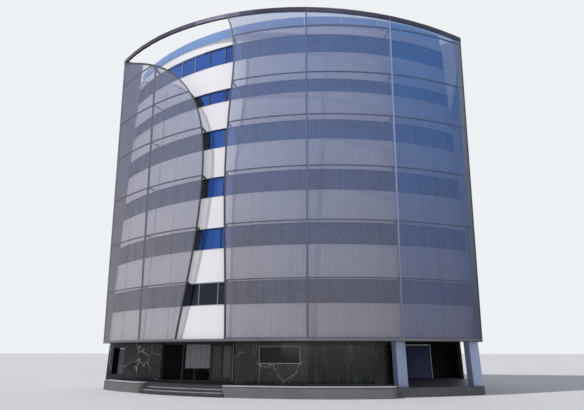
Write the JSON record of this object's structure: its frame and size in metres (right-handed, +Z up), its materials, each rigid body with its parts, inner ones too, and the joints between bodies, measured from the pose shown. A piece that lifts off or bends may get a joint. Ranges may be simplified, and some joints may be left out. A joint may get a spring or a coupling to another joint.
{
  "type": "office building",
  "caption": "Office building with a round front of white bands and blue glass behind a leaning curved mesh screen, on a black marble ground floor with an open car port.",
  "frame": {"origin": "on the underside of the ground slab, on the round front's line of symmetry, midway between its foremost point and the rear wall", "axes": "+X to the right as seen from the street, +Y to the back, +Z up"},
  "size_m": [25.2323, 15.84, 24.2111],
  "materials": {
    "white_render": "smooth painted render",
    "rear_render": "painted render",
    "concrete": "cast concrete",
    "paving_stone": "honed stone slabs",
    "planter_stone": "painted render with pale coping",
    "black_marble": "polished black marble with pale veins",
    "dark_panel": "dark reflective glass",
    "window_glass": "blue tinted glass",
    "guard_glass": "clear pale blue glass",
    "lobby_glass": "dark tinted glass",
    "dark_frame": "dark powder coat",
    "blind_fabric": "grey vertical blind",
    "column_paint": "pale blue grey paint",
    "navy_door": "navy blue paint",
    "mesh_sheet": "fine perforated metal",
    "screen_frame": "dark grey paint",
    "screen_frame_light": "grey paint",
    "fin_sheet": "grey sheet metal",
    "soffit_metal": "grey sheet metal"
  },
  "bodies": {
    "building": {"base_slab": "paving_stone", "lower_step": "paving_stone", "upper_step": "paving_stone", "planter_left": "planter_stone", "planter_right": "planter_stone", "marble_wall_left": "black_marble", "slot_window": "lobby_glass", "marble_wall_middle": "black_marble", "middle_window": "lobby_glass", "marble_return": "black_marble", "marble_band_right": "black_marble", "ground_glazing_right": "dark_panel", "carport_side_wall": "black_marble", "carport_back_piers": "concrete", "carport_back_beam": "concrete", "garage_door": "navy_door", "columns": "column_paint", "ground_side_walls": "rear_render", "ground_rear_wall": "rear_render", "entrance_posts": "dark_frame", "entrance_head_beam": "dark_frame", "entrance_glass": "lobby_glass", "entrance_blind": "blind_fabric", "door_pivots": "dark_frame", "front_wall_odd_bays": "white_render", "front_wall_even_bays": "white_render", "front_windows_odd_bays": "window_glass", "front_windows_even_bays": "window_glass", "corner_piers": "rear_render", "side_walls": "rear_render", "side_windows": "window_glass", "rear_wall": "rear_render", "rear_windows": "window_glass", "floor_slabs": "concrete", "roof_slab": "concrete", "glass_guard": "guard_glass", "sail_sheets": "mesh_sheet", "screen_sheets": "mesh_sheet", "sail_rails": "screen_frame_light", "screen_rails": "screen_frame_light", "sail_mullions": "screen_frame", "screen_mullions": "screen_frame_light", "edge_trims": "screen_frame", "top_rail": "screen_frame", "bottom_rim": "soffit_metal", "screen_arms": "screen_frame", "end_fins": "fin_sheet"},
    "left_door": {"entrance_door_left": "dark_frame"},
    "right_door": {"entrance_door_right": "dark_frame"}
  },
  "joints": [
    {"name": "left_door_hinge", "type": "hinge", "parent": "building", "child": "left_door", "pos_m": [-4.278, -3.2, 0.462], "axis": [0, 0, -1], "range_deg": [0, 90]},
    {"name": "right_door_hinge", "type": "hinge", "parent": "building", "child": "right_door", "pos_m": [-3.022, -3.2, 0.462], "axis": [0, 0, 1], "range_deg": [0, 90]}
  ]
}
